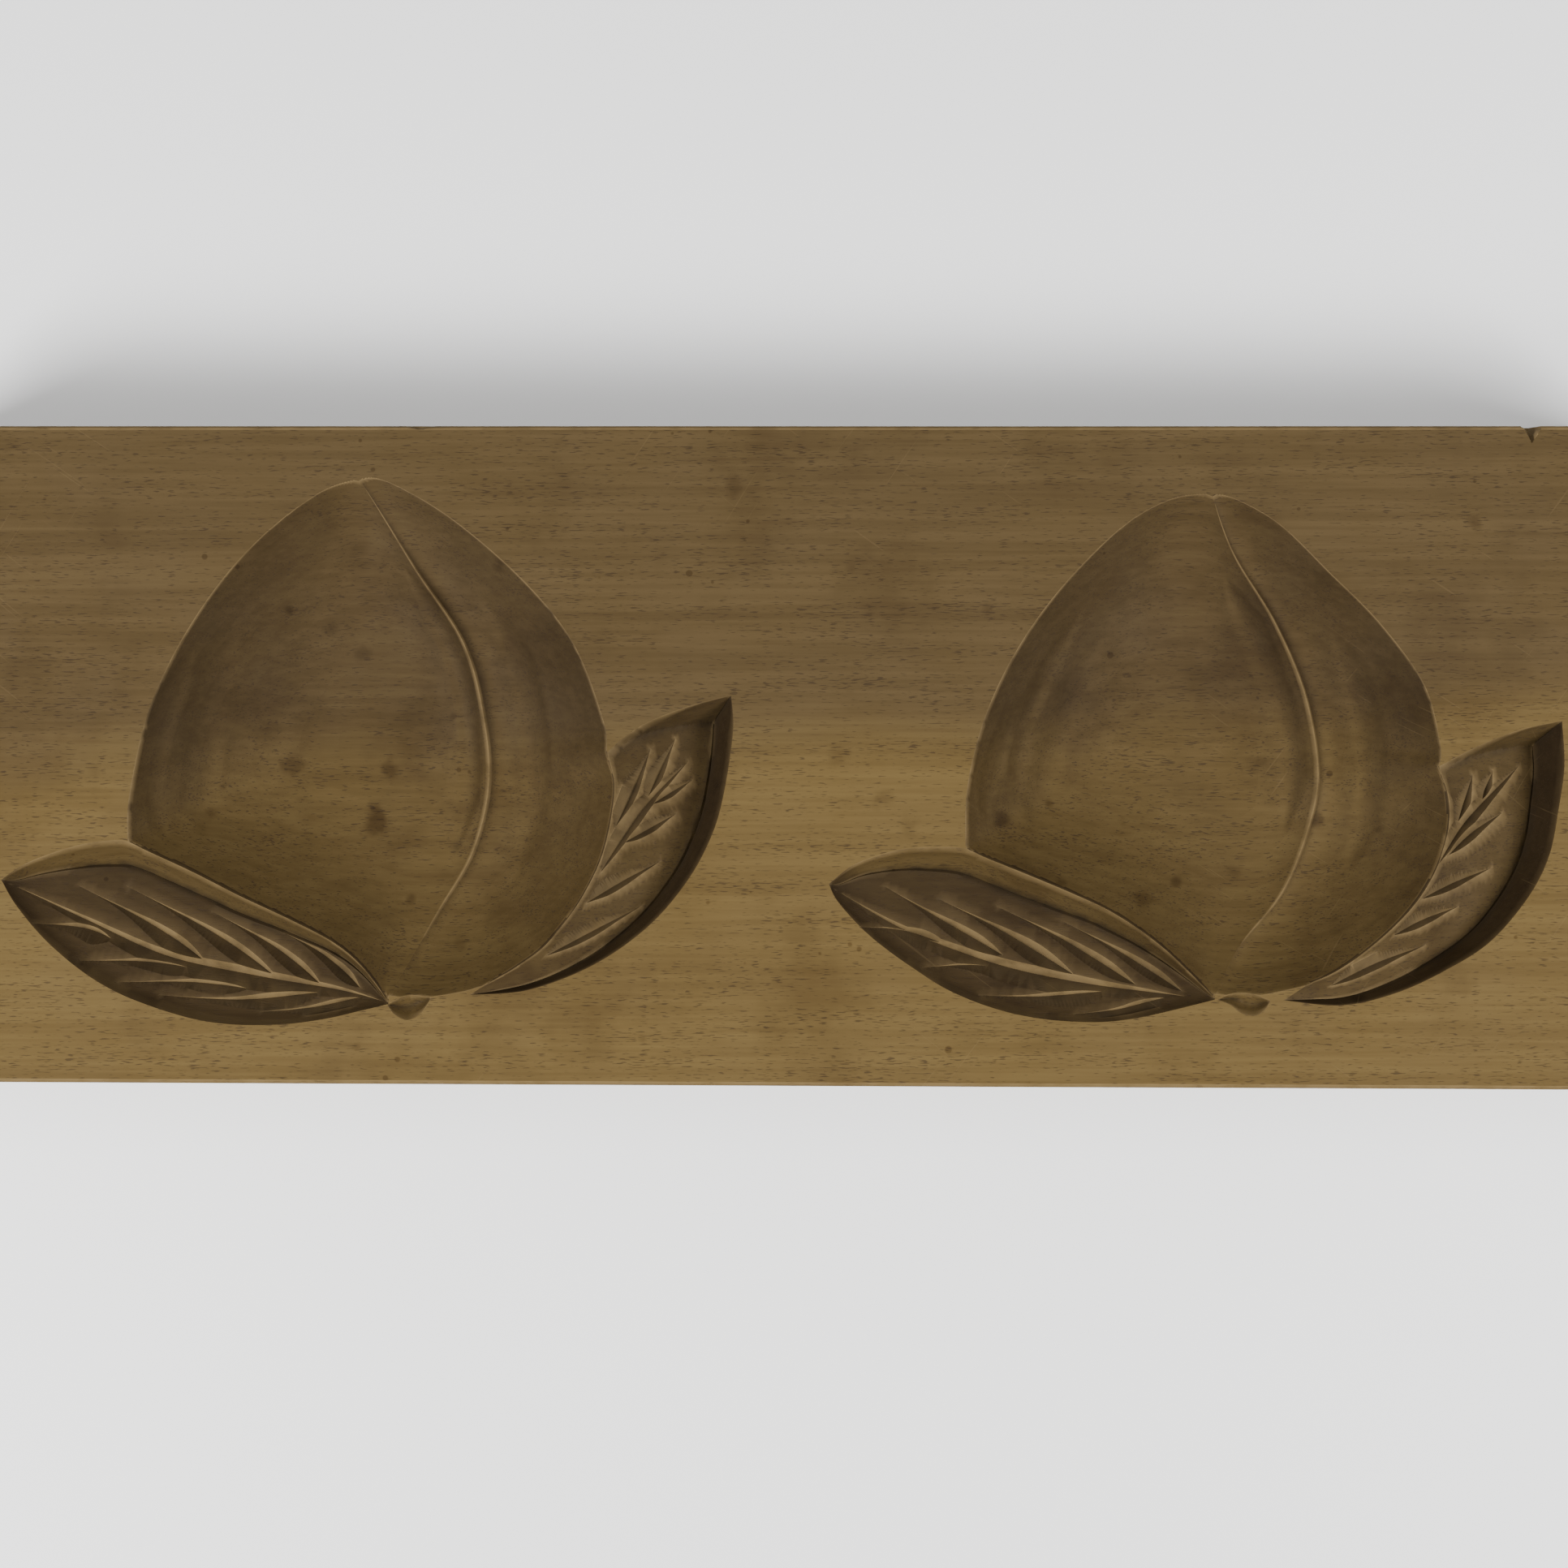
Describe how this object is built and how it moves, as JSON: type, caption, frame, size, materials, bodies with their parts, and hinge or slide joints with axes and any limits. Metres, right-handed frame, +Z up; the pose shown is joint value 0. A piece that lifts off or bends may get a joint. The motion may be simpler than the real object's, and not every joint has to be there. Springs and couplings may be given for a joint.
{
  "type": "sweet mould",
  "caption": "Long wooden press mould with deep-carved peaches and leaves, and the open frame board it is stored on, located by dowel pegs.",
  "frame": {"origin": "centre of the footprint on the table, at the underside of the frame board", "axes": "+X along the boards, +Y from the front edge (leaves) to the back edge (fruit tips), +Z up out of the carving"},
  "size_m": [0.4, 0.142, 0.0453],
  "materials": {
    "board_wood": "old hardwood worn satin by use, darker heartwood along the back and paler sapwood along the front",
    "frame_wood": "old planed hardwood, matt, handled edges",
    "peg_wood": "split bamboo, rubbed smooth"
  },
  "bodies": {
    "frame": {"frame_board": "frame_wood", "locating_peg_left": "peg_wood", "locating_peg_right": "peg_wood"},
    "carved": {"carved_board": "board_wood"}
  },
  "joints": [
    {"name": "lift_off", "type": "slide", "parent": "frame", "child": "carved", "axis": [0, 0, 1], "range_m": [0, 0.06]}
  ]
}
